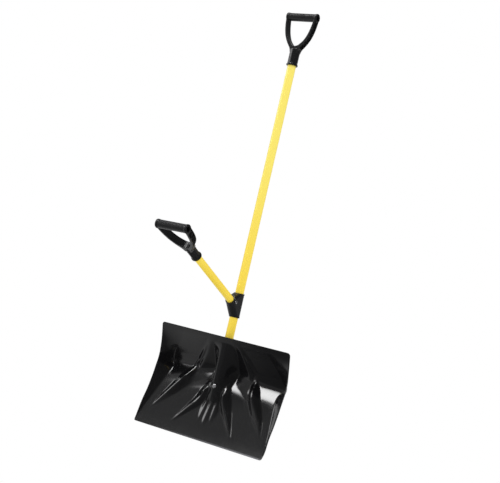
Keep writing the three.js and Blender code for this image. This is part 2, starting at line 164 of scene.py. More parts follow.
def hull(points):
    """The closed convex body round some points."""
    grid = bmesh.new()
    for p in points:
        grid.verts.new(p)
    made = bmesh.ops.convex_hull(grid, input=grid.verts)
    inside = [g for g in made["geom_interior"] if isinstance(g, bmesh.types.BMVert)]
    bmesh.ops.delete(grid, geom=inside, context="VERTS")
    bmesh.ops.recalc_face_normals(grid, faces=grid.faces)
    mesh = bpy.data.meshes.new("hull")
    grid.to_mesh(mesh)
    grid.free()
    return mesh


def rod(start, end, radius, end_radius=None, sides=64):
    """A solid round bar, or a cone where its two ends differ."""
    start, end = Vector(start), Vector(end)
    along = (end - start).normalized()
    side = along.orthogonal().normalized()
    other = along.cross(side)
    far = radius if end_radius is None else end_radius
    return hull(ring(radius, start, side, other, sides) + ring(far, end, side, other, sides))


def block(low, high):
    """A solid box between two opposite corners."""
    xs, ys, zs = zip(low, high)
    return hull([(x, y, z) for x in xs for y in ys for z in zs])


def plate(outline, y_low, y_high):
    """A flat outline of (x, z) points, given thickness along Y."""
    count = len(outline)
    points = [(x, y_low, z) for x, z in outline] + [(x, y_high, z) for x, z in outline]
    faces = [tuple(range(count)), tuple(range(2 * count - 1, count - 1, -1))]
    for i in range(count):
        j = (i + 1) % count
        faces.append((i, i + count, j + count, j))
    mesh = mesh_from("plate", points, faces)
    grid = bmesh.new()
    grid.from_mesh(mesh)
    bmesh.ops.triangulate(grid, faces=[f for f in grid.faces if len(f.verts) > 4])
    bmesh.ops.recalc_face_normals(grid, faces=grid.faces)
    grid.to_mesh(mesh)
    grid.free()
    return mesh


def joined(meshes):
    """Several meshes as one, just as they are."""
    grid = bmesh.new()
    for mesh in meshes:
        grid.from_mesh(mesh)
    made = bpy.data.meshes.new("joined")
    grid.to_mesh(made)
    grid.free()
    return made


def with_modifiers(mesh, *settings):
    """The mesh after some modifiers, each given as (type, {property: value})."""
    carrier = new_object("carrier", mesh)
    for kind, values in settings:
        modifier = carrier.modifiers.new(kind, kind)
        for key, value in values.items():
            setattr(modifier, key, value)
    graph = bpy.context.evaluated_depsgraph_get()
    made = bpy.data.meshes.new_from_object(carrier.evaluated_get(graph))
    bpy.data.objects.remove(carrier)
    return made


def combined(operation, mesh, others, solver="MANIFOLD"):
    """A mesh after one boolean operation with each of some closed bodies."""
    for other in others:
        tool = new_object("tool", other)
        settings = {"operation": operation, "solver": solver, "object": tool}
        mesh = with_modifiers(mesh, ("BOOLEAN", settings))
        bpy.data.objects.remove(tool)
    return mesh


def cut(mesh, *cutters):
    """A mesh less some closed bodies."""
    return combined("DIFFERENCE", mesh, cutters, "EXACT")


def merged(mesh, *others):
    """One skin round several closed bodies that overlap."""
    return combined("UNION", mesh, others)


def drilled(mesh, *holes):
    """A mesh with clearance holes, each given as (start, end, the fastener's radius)."""
    drills = [rod(start, end, radius + GAP, sides=HOLE_SIDES) for start, end, radius in holes]
    return combined("DIFFERENCE", mesh, drills)


def without_specks(mesh):
    """The largest connected body of a mesh."""
    grid = bmesh.new()
    grid.from_mesh(mesh)
    left = set(grid.verts)
    bodies = []
    while left:
        front = [left.pop()]
        body = list(front)
        while front:
            vert = front.pop()
            around = [edge.other_vert(vert) for edge in vert.link_edges]
            fresh = [other for other in around if other in left]
            left.difference_update(fresh)
            front += fresh
            body += fresh
        bodies.append(body)
    bodies.sort(key=len)
    specks = [vert for body in bodies[:-1] for vert in body]
    bmesh.ops.delete(grid, geom=specks, context="VERTS")
    grid.to_mesh(mesh)
    grid.free()
    return mesh


def moulded(meshes, voxel, rounding, keep):
    """Overlapping solids melted into one skin, with edges and corners rounded as a mould rounds them."""
    return without_specks(
        with_modifiers(
            joined(meshes),
            ("REMESH", {"mode": "VOXEL", "voxel_size": voxel, "adaptivity": 0}),
            ("SMOOTH", {"factor": 0.5, "iterations": rounding}),
            ("DECIMATE", {"ratio": keep}),
        )
    )


# ---------------------------------------------------------------- materials
class Nodes:
    """A material's or world's node tree, built by short calls."""

    def __init__(self, owner):
        owner.use_nodes = True
        self.tree = owner.node_tree

    def node(self, kind, **values):
        """A new node with some of its properties set."""
        made = self.tree.nodes.new(kind)
        for key, value in values.items():
            setattr(made, key, value)
        return made

    def link(self, output, socket):
        self.tree.links.new(output, socket)

    def fill(self, node, values):
        """Gives a node's inputs their values, or links them where a value is a socket."""
        for key, value in values.items():
            socket = node.inputs[key]
            if isinstance(value, bpy.types.NodeSocket):
                self.link(value, socket)
            else:
                socket.default_value = value
        return node

    def parts(self, vector):
        """The x, y and z outputs of a vector."""
        made = self.node("ShaderNodeSeparateXYZ")
        self.link(vector, made.inputs[0])
        return made.outputs

    def noise(self, where, scale, detail, roughness=0.5):
        """Smooth noise from about 0 to 1."""
        made = self.node("ShaderNodeTexNoise")
        self.fill(made, {"Vector": where, "Scale": scale, "Detail": detail, "Roughness": roughness})
        return made.outputs["Fac"]

    def ramp(self, value, low, high, to_low=0.0, to_high=1.0):
        """A smooth step from one level to another as a value goes from low to high."""
        made = self.node("ShaderNodeMapRange", interpolation_type="SMOOTHSTEP")
        limits = {"From Min": low, "From Max": high, "To Min": to_low, "To Max": to_high}
        self.fill(made, {"Value": value, **limits})
        return made.outputs["Result"]

    def maths(self, operation, a, b):
        """One step of arithmetic on two sockets or numbers."""
        made = self.node("ShaderNodeMath", operation=operation)
        self.fill(made, {0: a, 1: b})
        return made.outputs["Value"]

    def blend(self, share, a, b):
        """A colour between two, which are sockets or tuples."""
        made = self.node("ShaderNodeMix", data_type="RGBA")
        self.fill(made, {"Factor": share})
        for socket, value in ((made.inputs[6], a), (made.inputs[7], b)):
            if isinstance(value, bpy.types.NodeSocket):
                self.link(value, socket)
            else:
                socket.default_value = (*value, 1)
        return made.outputs[2]

    def stretched(self, where, scale):
        """Coordinates scaled apart, so that a pattern runs longer where the scale is small."""
        made = self.node("ShaderNodeMapping")
        self.fill(made, {"Vector": where, "Scale": scale})
        return made.outputs["Vector"]

    def bump(self, height, distance, strength=1.0, under=None):
        """The normal of a bumpy surface, on top of another normal if one is given."""
        made = self.node("ShaderNodeBump")
        self.fill(made, {"Height": height, "Distance": distance, "Strength": strength})
        if under is not None:
            self.link(under, made.inputs["Normal"])
        return made.outputs["Normal"]


def new_material(name):
    """A material with its node builder, its main shader and its coordinates, in metres."""
    material = bpy.data.materials.new(name)
    nodes = Nodes(material)
    shader = nodes.tree.nodes["Principled BSDF"]
    where = nodes.node("ShaderNodeTexCoord").outputs["Object"]
    return material, nodes, shader, where


def black_plastic(name, tone, gloss, grain_scale, grain_depth):
    """Moulded black plastic: faint flow marks, a fine grain, and small scuffs that dull the gloss."""
    material, nodes, shader, where = new_material(name)
    flow = nodes.noise(nodes.stretched(where, (1, 1, 0.25)), scale=14, detail=4)
    scuff = nodes.noise(nodes.stretched(where, (1, 1, 6)), scale=90, detail=5, roughness=0.65)
    grain = nodes.bump(nodes.noise(where, scale=grain_scale, detail=2), grain_depth)
    dark = tuple(c * 0.7 for c in tone)
    light = tuple(c * 1.35 for c in tone)
    sheen = nodes.ramp(flow, 0.3, 0.7, gloss * 0.88, gloss * 1.12)
    scuffed = nodes.ramp(scuff, 0.62, 0.75, 0, 0.08)
    nodes.fill(
        shader,
        {
            "Base Color": nodes.blend(flow, dark, light),
            "Roughness": nodes.maths("ADD", sheen, scuffed),
            "Normal": nodes.bump(flow, distance=0.0004, strength=0.25, under=grain),
        },
    )
    return material


def scoop_plastic():
    """Glossy plastic, a little duller low down where snow wears it, with a pale painted highlight along its
    bottom edge, stronger towards +X.
    """
    material, nodes, shader, where = new_material("scoop_gloss")
    x, _, z = nodes.parts(where)
    flow = nodes.noise(nodes.stretched(where, (1, 1, 0.4)), scale=9, detail=4)
    scratch = nodes.noise(nodes.stretched(where, (1.2, 1, 0.06)), scale=420, detail=3, roughness=0.6)
    low_down = nodes.ramp(z, 0.0, 0.045, 1.0, 0.0)
    worn = nodes.maths("MULTIPLY", low_down, nodes.ramp(scratch, 0.42, 0.62))
    # Painted highlight: a pale grey band along the bottom edge, stronger towards +X, where the edge catches
    # the light.
    at_edge = nodes.ramp(z, 0.0015, 0.006, 1.0, 0.0)
    painted_edge_highlight = nodes.maths("MULTIPLY", at_edge, nodes.ramp(x, -0.2, 0.2))
    black = nodes.blend(worn, (0.0045, 0.0045, 0.005), (0.007, 0.007, 0.0075))
    sheen = nodes.ramp(flow, 0.3, 0.7, 0.13, 0.17)
    dulled = nodes.maths("MULTIPLY", worn, 0.05)
    grain = nodes.bump(nodes.noise(where, scale=1500, detail=2), distance=0.00002, strength=0.3)
    nodes.fill(
        shader,
        {
            # the pale grey mixed in along the bottom edge is the painted highlight
            "Base Color": nodes.blend(painted_edge_highlight, black, (0.16, 0.16, 0.17)),
            "Roughness": nodes.maths("ADD", sheen, dulled),
            "Normal": nodes.bump(scratch, distance=0.00012, strength=0.12, under=grain),
        },
    )
    return material


def yellow_paint():
    """Gloss paint on steel: deeper low down, with a faint orange peel and a few dull handling marks."""
    material, nodes, shader, where = new_material("yellow_paint")
    height = nodes.parts(where)["Z"]
    cloud = nodes.noise(nodes.stretched(where, (1, 1, 0.15)), scale=22, detail=4)
    rub = nodes.noise(nodes.stretched(where, (1, 1, 0.3)), scale=160, detail=5, roughness=0.7)
    peel = nodes.noise(where, scale=900, detail=2)
    low_tone = (0.95, 0.7, 0.055)
    high_tone = (0.95, 0.8, 0.15)
    deep_tone = (0.86, 0.6, 0.05)
    tone = nodes.blend(nodes.ramp(height, 0.3, 1.0), low_tone, high_tone)
    nodes.fill(
        shader,
        {
            "Base Color": nodes.blend(nodes.ramp(cloud, 0.3, 0.8, 0, 0.22), tone, deep_tone),
            "Roughness": nodes.ramp(rub, 0.45, 0.75, 0.3, 0.5),
            "Normal": nodes.bump(peel, distance=0.00005, strength=0.35),
        },
    )
    return material


def zinc():
    """Zinc-plated steel with the faint mottling of the plating."""
    material, nodes, shader, where = new_material("zinc_plate")
    mottle = nodes.noise(where, scale=700, detail=4)
    nodes.fill(
        shader,
        {
            "Base Color": nodes.blend(mottle, (0.42, 0.42, 0.43), (0.66, 0.66, 0.68)),
            "Metallic": 1,
            "Roughness": nodes.ramp(mottle, 0.3, 0.7, 0.28, 0.42),
            "Normal": nodes.bump(mottle, distance=0.00004, strength=0.3),
        },
    )
    return material


SCOOP_PLASTIC = scoop_plastic()
GRIP_PLASTIC = black_plastic(
    "grip_satin", tone=(0.006, 0.006, 0.0066), gloss=0.26, grain_scale=1400, grain_depth=0.00003
)
BRACKET_PLASTIC = black_plastic(
    "bracket_satin", tone=(0.008, 0.008, 0.009), gloss=0.36, grain_scale=1100, grain_depth=0.00004
)
PAINT = yellow_paint()
ZINC = zinc()


# ---------------------------------------------------------------- small maths
def through(pairs, position):
    """A smooth curve through (position, value) pairs."""
    table = np.array(pairs, float)
    places, values = table[:, 0], table[:, 1]
    last = len(places) - 1
    before = np.maximum(np.arange(last + 1) - 1, 0)
    after = np.minimum(np.arange(last + 1) + 1, last)
    slopes = (values[after] - values[before]) / (places[after] - places[before])
    held = np.clip(position, places[0], places[-1])
    i = np.clip(np.searchsorted(places, held, side="right") - 1, 0, last - 1)
    step = places[i + 1] - places[i]
    t = (held - places[i]) / step
    t2, t3 = t**2, t**3
    return (
        values[i] * (2 * t3 - 3 * t2 + 1)
        + slopes[i] * step * (t3 - 2 * t2 + t)
        + values[i + 1] * (3 * t2 - 2 * t3)
        + slopes[i + 1] * step * (t3 - t2)
    )


def smooth(t):
    """A smooth step from 0 to 1."""
    c = np.clip(t, 0, 1)
    return c * c * (3 - 2 * c)


# ---------------------------------------------------------------- the scoop's face
# Side profile of the rim, and of the tray's floor away from the ridges: (height, y).
RIM_PROFILE = [
    (0, -58), (40, -50), (61, -45), (102, -30), (150, -18.5), (206, -11.8), (243, -14.3), (282, -23.5),
    (305, -30.5),
]
TRAY_PROFILE = [
    (0, -58), (15, -50), (30, -42.5), (57, -30), (80, -20), (100, -11.5), (125, -1), (145, 7.5),
    (157, 13.5), (168, 20.5), (178, 27.5), (185, 32), (191, 35), (197, 36.2), (204, 35.2), (215, 30.5),
    (235, 19), (260, 3), (280, -12), (293, -22.5), (305, -30.5),
]
# Where the side walls start: (height, distance from the middle).
WALL_FOLD = [
    (0, 229), (18, 228), (44, 223), (71, 216), (110, 204), (147, 194), (174, 191), (188, 202), (201, 204),
    (218, 198), (234, 190), (246, 179), (274, 160), (290, 150), (305, 143),
]
# The bulge that hides the shaft's socket: (height, y of its front) and (height, half its width).
BULGE_FRONT = [(84, -9.5), (98, -11), (110, -14), (124, -17.6), (134, -18.2), (305, -18.2)]
BULGE_HALF = [(85, 14), (100, 19), (122, 28), (150, 36), (176, 41), (305, 41)]
BULGE_FLAT = 0.2  # how much of the bulge's width is its flat front
WALL_CURVE = 1.3  # how soon the side walls turn forward: 1 is a straight slope
# Ridges of the fan on the right half, each from the top down, by stations along its crest:
# (x, height, how far it stands out, width of the inner flank, width of the outer flank).
RIDGES = [
    [
        (34, 292, 1, 10, 10), (53, 276, 2.5, 14, 12), (72, 236, 6, 30, 13), (88, 206, 12, 46, 15),
        (103, 184, 13.5, 34, 16), (120, 162, 12.5, 23, 16), (136, 140, 11, 20, 15),
        (155, 114, 9, 17, 12.5), (174, 87, 5.5, 12, 9), (195, 54, 0.3, 2, 2),
    ],
    [
        (57, 276, 1, 4, 6), (74, 256, 4, 5, 8), (88, 234, 6, 5, 9), (102, 213, 6, 5, 9),
        (112, 196, 0.5, 3, 4),
    ],
    [
        (24, 158, 8, 14, 16), (29, 144, 12, 14, 19), (38, 122, 13, 14, 20), (51, 101, 11, 13, 17),
        (66, 83, 8.5, 11, 13), (86, 57, 5, 7, 7), (108, 28, 0.3, 2, 2),
    ],
    [
        (0, 128, 12, 16, 16), (0, 112, 9, 16, 16), (0, 96, 6.5, 14, 14), (0, 76, 4, 12, 12),
        (0, 42, 0.3, 4, 4),
    ],
    [
        (15, 132, 12, 12, 12), (17, 112, 8, 12, 12), (18, 92, 5, 12, 12), (19, 76, 3, 10, 10),
        (20, 54, 0.3, 4, 4),
    ],
    [(28, 142, 10, 8, 8), (29, 118, 5, 8, 8), (30, 104, 2.5, 6, 6), (30, 90, 0.3, 2, 2)],
]
MIN_FLANK = 0.5
CREST_ROUND = 0.22  # how round a crest is, as a share of its narrower flank
CREST_STEPS = 48
TOP_FADE = 30  # below the top edge, the height in which ridges and panels flatten out
# The panels between them fall away outwards from the middle. Each fall by rows:
# (height, x where it starts, x where it ends, how far forward it starts).
FALLS = [
    [
        (100, 36, 120, 0), (120, 36, 112, 3), (140, 36, 104, 10), (166, 36, 96, 12), (193, 36, 96, 9),
        (215, 36, 90, 0),
    ],
    [
        (100, 150, 212, 0), (120, 140, 206, 4), (147, 128, 196, 10), (174, 118, 190, 12),
        (200, 112, 192, 10), (225, 112, 190, 0),
    ],
]
FALL_START = 16  # the width in which a fall rises to its full height


def curve_through(stations):
    """Rows along the smooth curve through some stations."""
    knots = np.array(stations, float)
    spans = len(knots) - 1
    rows = []
    for s in np.linspace(0, spans, CREST_STEPS + 1):
        i = min(int(s), spans - 1)
        t = s - i
        p0, p1, p2, p3 = knots[max(0, i - 1)], knots[i], knots[i + 1], knots[min(spans, i + 2)]
        bend = 2 * p0 - 5 * p1 + 4 * p2 - p3
        twist = 3 * p1 - p0 - 3 * p2 + p3
        rows.append(0.5 * (2 * p1 + (p2 - p0) * t + bend * t**2 + twist * t**3))
    return np.array(rows)


def ridge_height(crest, x, z):
    """How far a ridge stands out at some points, from rows of its crest."""
    best = np.full(x.shape, np.inf)
    side = np.zeros(x.shape)
    sizes = [np.zeros(x.shape) for _ in range(3)]
    for here, there in zip(crest[:-1], crest[1:]):
        dx, dz = there[:2] - here[:2]
        t = np.clip(((x - here[0]) * dx + (z - here[1]) * dz) / (dx * dx + dz * dz), 0, 1)
        off_x, off_z = x - here[0] - t * dx, z - here[1] - t * dz
        distance = np.hypot(off_x, off_z)
        nearer = distance < best
        best = np.where(nearer, distance, best)
        side = np.where(nearer, dx * off_z - dz * off_x, side)
        for k in range(3):
            sizes[k] = np.where(nearer, here[2 + k] + t * (there[2 + k] - here[2 + k]), sizes[k])
    tall, inner, outer = sizes
    flank = np.maximum(MIN_FLANK, np.where(side > 0, outer, inner))
    crest_round = CREST_ROUND * np.minimum(inner, outer)
    off = np.hypot(best, crest_round) - crest_round
    return np.maximum(0, tall) * np.clip(1 - off / flank, 0, 1)


CRESTS = [curve_through(stations) for stations in RIDGES]


def fall_height(rows, x, z):
    """How far a falling panel stands out at some points."""
    start, end, tall = (through([(row[0], row[k]) for row in rows], z) for k in (1, 2, 3))
    slope = np.clip((end - x) / (end - start), 0, 1)
    return np.maximum(0, tall) * slope * smooth((x - start) / FALL_START + 1)


def face(x, z):
    """y of the scoop's face, which looks towards -Y."""
    side = np.abs(x)
    fold = through(WALL_FOLD, z)
    wall = np.clip((WIDTH / 2 - side) / np.maximum(1, WIDTH / 2 - fold), 0, 1)
    rim = through(RIM_PROFILE, z)
    tray = through(TRAY_PROFILE, z)
    y = rim + (tray - rim) * (1 - (1 - wall) ** WALL_CURVE)
    tall = np.max([ridge_height(crest, side, z) for crest in CRESTS], axis=0)
    fall = np.max([fall_height(rows, side, z) for rows in FALLS], axis=0)
    y = y - (tall + fall) * smooth((HEIGHT - z) / TOP_FADE)
    half = through(BULGE_HALF, z)
    over = (half - side) / (half * (1 - BULGE_FLAT))
    nose = np.minimum(0, through(BULGE_FRONT, z) - y)
    return y + nose * (smooth(over) + np.clip(over, 0, 1)) / 2


# ---------------------------------------------------------------- the scoop
TOP_CORNER = 9
LOW_CORNER = 5
WALL = 3
RIM_WALL = 5.5
RIM_BAND = 7
RIM_RISE = 60  # the height in which the rim reaches its full thickness
STEEPEST = 1.7  # the most that the sheet may measure along Y where it is steep, in thicknesses
EDGE_STEPS = [0, 0.12, 0.45, 0.95, 1.6, 2.4, 3.4, 4.6, 6]
GRID = 1.5
EASE_PASSES = 3


def spaced(length):
    """Positions from 0 to a length, close together near both ends and even between them."""
    inner = EDGE_STEPS[-1]
    count = int((length - 2 * inner) / GRID)
    middle = np.linspace(inner, length - inner, count + 1)[1:-1]
    far_end = [length - step for step in reversed(EDGE_STEPS)]
    return np.concatenate([EDGE_STEPS, middle, far_end])


def half_width(z):
    """Half the scoop's width at a height, with its rounded corners."""
    up = np.clip(z - (HEIGHT - TOP_CORNER), 0, TOP_CORNER)
    down = np.clip(LOW_CORNER - z, 0, LOW_CORNER)
    top_cut = TOP_CORNER - np.sqrt(TOP_CORNER**2 - up**2)
    low_cut = LOW_CORNER - np.sqrt(LOW_CORNER**2 - down**2)
    return WIDTH / 2 - top_cut - low_cut


def thickness(x, z):
    """The sheet's thickness, greater along the sides and the top."""
    to_edge = np.minimum(WIDTH / 2 - np.abs(x), HEIGHT - z)
    in_rim = 1 - smooth(to_edge / RIM_BAND)
    return WALL + (RIM_WALL - WALL) * in_rim * smooth(z / RIM_RISE)


def eased(values):
    """Values on the sheet's grid with their creases eased, except near its edges."""
    edge = len(EDGE_STEPS)
    inside = slice(edge, -edge)
    for _ in range(EASE_PASSES):
        for grid in (values, values.T):
            before, after = grid[edge - 1 : -edge - 1, inside], grid[edge + 1 : 1 - edge, inside]
            grid[inside, inside] = (before + 2 * grid[inside, inside] + after) / 4
    return values


def scoop_skin():
    """The scoop's sheet: its face, its back, and its edges, rounded over."""
    across = spaced(WIDTH) / WIDTH * 2 - 1
    rows = spaced(HEIGHT)
    share, z = np.meshgrid(across, rows)
    half = half_width(z)
    x = share * half
    y = eased(face(x, z))
    probe = 0.5
    slope_x = (face(x + probe, z) - face(x - probe, z)) / (2 * probe)
    slope_z = (face(x, z + probe) - face(x, z - probe)) / (2 * probe)
    thick = thickness(x, z)
    depth = eased(thick * np.minimum(STEEPEST, np.sqrt(1 + slope_x**2 + slope_z**2)))
    to_edge = np.minimum(np.minimum(half - np.abs(x), z), HEIGHT - z)
    radius = thick / 2
    inward = np.clip(1 - to_edge / radius, 0, 1)
    rounding = (1 - np.sqrt(1 - inward**2)) * depth / 2
    back_y = np.minimum(y + depth - rounding, scoop_high.y - AXIS_Y)
    front = np.stack([x, y + rounding, z], -1).reshape(-1, 3)
    back = np.stack([x, back_y, z], -1).reshape(-1, 3)

    columns = len(across)
    sheet = len(front)
    faces = []
    for j in range(len(rows) - 1):
        for i in range(columns - 1):
            a = j * columns + i
            faces.append((a, a + 1, a + 1 + columns, a + columns))
            faces.append((sheet + a, sheet + a + columns, sheet + a + 1 + columns, sheet + a + 1))
    mesh = mesh_from("skin", np.concatenate([front, back]), faces)
    weld(mesh, 1e-3)
    return mesh


SLEEVE_RADIUS = 16.6
SLEEVE_FOOT = 122
SLEEVE_FOOT_ROUND = 3
SLEEVE_LIP_ROUND = 1.2
COLLAR_FOOT = HEIGHT - 14
COLLAR_TOP = HEIGHT - 1
COLLAR_CORNER = 14  # half the collar's width where it meets the rim
COLLAR_DRAFT = 0.6


def scoop_socket():
    """The socket behind the scoop that holds the shaft, and its collar at the top edge."""
    bore = SHAFT_RADIUS + GAP
    floor = shaft_low.z - GAP
    foot_round, lip_round = SLEEVE_FOOT_ROUND, SLEEVE_LIP_ROUND
    profile = [(0, SLEEVE_FOOT)]
    profile += arc((SLEEVE_RADIUS - foot_round, SLEEVE_FOOT + foot_round), foot_round, -90, 0)
    profile += arc((SLEEVE_RADIUS - lip_round, COLLAR_TOP - lip_round), lip_round, 0, 90)
    profile += [(bore, COLLAR_TOP), (bore, floor), (0, floor)]
    sleeve = lathe(profile)
    rim_back = RIM_PROFILE[-1][1] + WALL
    x_axis, y_axis = (1, 0, 0), (0, 1, 0)
    collar = hull(
        ring(SLEEVE_RADIUS, (0, 0, COLLAR_FOOT), x_axis, y_axis, 96)
        + ring(SLEEVE_RADIUS - COLLAR_DRAFT, (0, 0, COLLAR_TOP), x_axis, y_axis, 96)
        + [Vector((side * COLLAR_CORNER, rim_back, COLLAR_TOP)) for side in (-1, 1)]
    )
    collar = cut(collar, rod((0, 0, COLLAR_FOOT - CLEAR), (0, 0, HEIGHT + CLEAR), bore, sides=96))
    return merged(sleeve, collar)


# ---------------------------------------------------------------- tubes
def tube(radius, low, high):
    """A tube with its edges rounded."""
    edge = TUBE_WALL * 0.45
    inner = radius - TUBE_WALL
    profile = arc((radius - edge, low + edge), edge, -90, 0, 3)
    profile += arc((radius - edge, high - edge), edge, 0, 90, 3)
    profile += arc((inner + edge, high - edge), edge, 90, 180, 3)
    profile += arc((inner + edge, low + edge), edge, 180, 270, 3)
    return lathe(profile, 128)


# ---------------------------------------------------------------- bracket
BRACKET_FOOT = 366
BRACKET_TOP = 438
BRACKET_RADIUS = 15.2
BRACKET_SHIFT = 1  # how far back its foot sits
DRILL_PAST = 30  # how far the second handle's drill passes the mouth
MOUTH_UP = 44.5  # where the mouth for the second handle is, along that handle's axis
MOUTH_RADIUS = 14.5
RIM_OUT = 1.1
RIM_UP = 3


def bracket_mesh():
    """The moulded bracket: a body that tapers down onto the shaft, with raised rims round its mouths."""
    x_axis, y_axis = (1, 0, 0), (0, 1, 0)
    outward = Vector((0, -math.sin(SECOND_TILT), math.cos(SECOND_TILT)))
    across = Vector((0, math.cos(SECOND_TILT), math.sin(SECOND_TILT)))
    mouth = Vector((0, 0, SECOND_HEIGHT)) + outward * MOUTH_UP
    foot = Vector((0, BRACKET_SHIFT, BRACKET_FOOT))
    top = Vector((0, 0, BRACKET_TOP))
    rim = Vector((0, 0, RIM_UP))
    body = hull(
        ring(BRACKET_RADIUS, foot, x_axis, y_axis)
        + ring(BRACKET_RADIUS, top, x_axis, y_axis)
        + ring(MOUTH_RADIUS, mouth, x_axis, across)
    )
    rims = [
        rod(top - rim, top, BRACKET_RADIUS + RIM_OUT),
        rod(foot, foot + rim, BRACKET_RADIUS + RIM_OUT * 0.7),
        rod(mouth - outward * RIM_UP, mouth, MOUTH_RADIUS + RIM_OUT),
    ]
    skin = moulded([body, *rims], voxel=0.6, rounding=4, keep=0.5)
    deep = SECOND_TURN @ Vector((0, 0, SECOND_FOOT - GAP))
    return cut(
        skin,
        rod((0, 0, BRACKET_FOOT - CLEAR), (0, 0, BRACKET_TOP + CLEAR), SHAFT_RADIUS + GAP, sides=96),
        rod(deep, mouth + outward * DRILL_PAST, SECOND_RADIUS + GAP, sides=96),
    )


# ---------------------------------------------------------------- D-grips
# Half outlines of the grip's loop and neck: (distance from the middle, height above the socket's mouth).
GRIP_OUTER = [
    (12.5, 42), (14.5, 48), (18.5, 55), (25, 63), (33, 75), (40.5, 90), (46, 108), (49.5, 128),
    (51.5, 149.5),
]
GRIP_INNER = [
    (46.5, 149.5), (44.7, 139), (42.3, 124), (38.9, 108), (33.6, 92), (26.3, 78), (17, 67.5), (9.5, 61.5),
    (0, 58.8),
]
NECK_OUTLINE = [(12.5, 40), (14.2, 47), (17, 53), (15, 60), (8, 59.5), (0, 58.2)]
ARM_FOOT = (0, 42)
ARM_POINTS = 28
ARM_DEPTH = 22
FLANGE = 2.2
WEB = 2.4
RIB_HALF = 0.9
RIB_STEP = 3  # each rib spans this many of the arm's points
FIRST_RIB = 4
BAR_HALF = 52
BAR_RADIUS = 12
BAR_BORE = 7.4
BAR_DRILL = 70  # half the length of the drill that makes the bar hollow
BAR_RING_RADIUS = 13
BAR_RING_LENGTH = 6
SOCKET_WALL = 1.5
SOCKET_LENGTH = 50
SOCKET_FLATS = 8
LIP_OUT = 4.2  # how far the lip stands out round the socket's bore
LIP_LENGTH = 4
LIP_TAPER = 3


def resampled(outline, count):
    """Evenly spaced points on the smooth curve through an outline."""
    points = curve_through(outline)
    steps = np.hypot(*np.diff(points, axis=0).T)
    along = np.concatenate([[0], np.cumsum(steps)])
    places = np.linspace(0, along[-1], count)
    return np.stack([np.interp(places, along, points[:, k]) for k in (0, 1)], 1)


def offset(points, distance):
    """An open line of points moved sideways, to its left for a positive distance."""
    ahead = np.gradient(points, axis=0)
    ahead /= np.hypot(*ahead.T)[:, None]
    return points + distance * np.stack([-ahead[:, 1], ahead[:, 0]], 1)


def grip_arm(side):
    """One arm: a channel open to the outside, with ribs that zigzag from one flange to the other."""
    half_depth = ARM_DEPTH / 2
    mirror = np.array([side, 1])
    outer = resampled(GRIP_OUTER, ARM_POINTS) * mirror
    plain_inner = resampled(GRIP_INNER, ARM_POINTS)[::-1]
    inner = plain_inner * mirror
    web_line = offset(plain_inner, -WEB) * mirror
    flange = [ARM_FOOT, *(tuple(p) for p in outer), *(tuple(p) for p in inner[::-1])]
    web = [tuple(p) for p in np.concatenate([web_line, inner[::-1]])]
    parts = [
        plate(flange, -half_depth, -half_depth + FLANGE),
        plate(flange, half_depth - FLANGE, half_depth),
        plate(web, -half_depth, half_depth),
    ]
    reach = half_depth - FLANGE / 2
    last = ARM_POINTS - 1
    for i in range(FIRST_RIB, last - 1, RIB_STEP):
        j = min(i + RIB_STEP, last)
        start_y = reach if (i // RIB_STEP) % 2 else -reach
        corners = [(outer[i], start_y), (inner[i], start_y), (outer[j], -start_y), (inner[j], -start_y)]
        parts.append(hull([(p[0], y, p[1] + up) for p, y in corners for up in (-RIB_HALF, RIB_HALF)]))
    return parts


def grip_mesh(bore):
    """A D-grip: a socket with flats, two ribbed arms, and a hollow bar with a ring at each end."""
    half_depth = ARM_DEPTH / 2
    neck = NECK_OUTLINE + [(-x, z) for x, z in reversed(NECK_OUTLINE[:-1])]
    across_corners = (bore + SOCKET_WALL) / math.cos(math.pi / SOCKET_FLATS)
    lip = bore + LIP_OUT
    parts = [
        *grip_arm(-1),
        *grip_arm(1),
        plate(neck, -half_depth, half_depth),
        rod((0, 0, 0), (0, 0, SOCKET_LENGTH), across_corners, sides=SOCKET_FLATS),
        rod((0, 0, 0), (0, 0, LIP_LENGTH), lip),
        rod((0, 0, LIP_LENGTH), (0, 0, LIP_LENGTH + LIP_TAPER), lip, bore + SOCKET_WALL + 0.1),
        rod((-BAR_HALF, 0, GRIP_BAR_HEIGHT), (BAR_HALF, 0, GRIP_BAR_HEIGHT), BAR_RADIUS),
    ]
    for side in (-1, 1):
        near, far = side * (BAR_HALF - BAR_RING_LENGTH), side * BAR_HALF
        parts.append(rod((near, 0, GRIP_BAR_HEIGHT), (far, 0, GRIP_BAR_HEIGHT), BAR_RING_RADIUS))
    skin = moulded(parts, voxel=0.62, rounding=3, keep=0.45)
    return cut(
        skin,
        rod((-BAR_DRILL, 0, GRIP_BAR_HEIGHT), (BAR_DRILL, 0, GRIP_BAR_HEIGHT), BAR_BORE),
        rod((0, 0, -CLEAR), (0, 0, GRIP_SOCKET_DEPTH + GAP), bore),
    )


# ---------------------------------------------------------------- fasteners
CROWN_SHARE = 0.55  # of a screw head's height
RECESS_SHARE = 0.55  # of a screw head's height and radius
SLOT_SHARE = 0.11  # of a screw head's radius
DOME_STEPS = 8


def screw_mesh(radius, head_radius, head_height, length):
    """A round-headed screw pointing down -Z from its seat at z = 0, with a cross recess."""
    crown = head_height * CROWN_SHARE
    profile = [
        (0, -length),
        (radius * 0.7, -length),
        (radius, -length + radius * 0.6),
        (radius, 0),
        (head_radius, 0),
        (head_radius, head_height - crown),
    ]
    for i in range(1, DOME_STEPS):
        t = i / DOME_STEPS * math.pi / 2
        profile.append((head_radius * math.cos(t), head_height - crown + crown * math.sin(t)))
    profile.append((0, head_height))
    body = lathe(profile, 48)
    slot_half = head_radius * RECESS_SHARE
    thin = head_radius * SLOT_SHARE
    floor = head_height - head_height * RECESS_SHARE
    return cut(
        body,
        block((-slot_half, -thin, floor), (slot_half, thin, head_height + 1)),
        block((-thin, -slot_half, floor), (thin, slot_half, head_height + 1)),
    )


